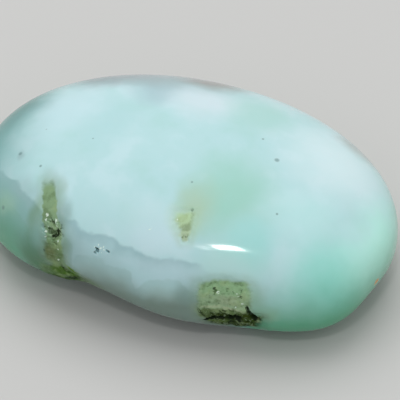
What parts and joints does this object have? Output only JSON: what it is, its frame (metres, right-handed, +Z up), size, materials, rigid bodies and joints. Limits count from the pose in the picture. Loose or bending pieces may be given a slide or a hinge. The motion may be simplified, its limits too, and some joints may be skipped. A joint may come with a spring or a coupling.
{
  "type": "chrysocolla cabochon",
  "caption": "Polished freeform oval stone with a domed crown and a small flat to rest on, milky blue-green with patches of its host rock.",
  "frame": {"origin": "on the flat that the stone rests on, under the middle of its length and width", "axes": "+X along the stone towards its narrower right end, +Y towards its back, +Z up through the crown"},
  "size_m": [0.0302, 0.0204, 0.0101],
  "materials": {
    "stone": "polished, glossy, dull where the host rock reaches the surface"
  },
  "bodies": {
    "root": {"cabochon": "stone"}
  },
  "joints": []
}
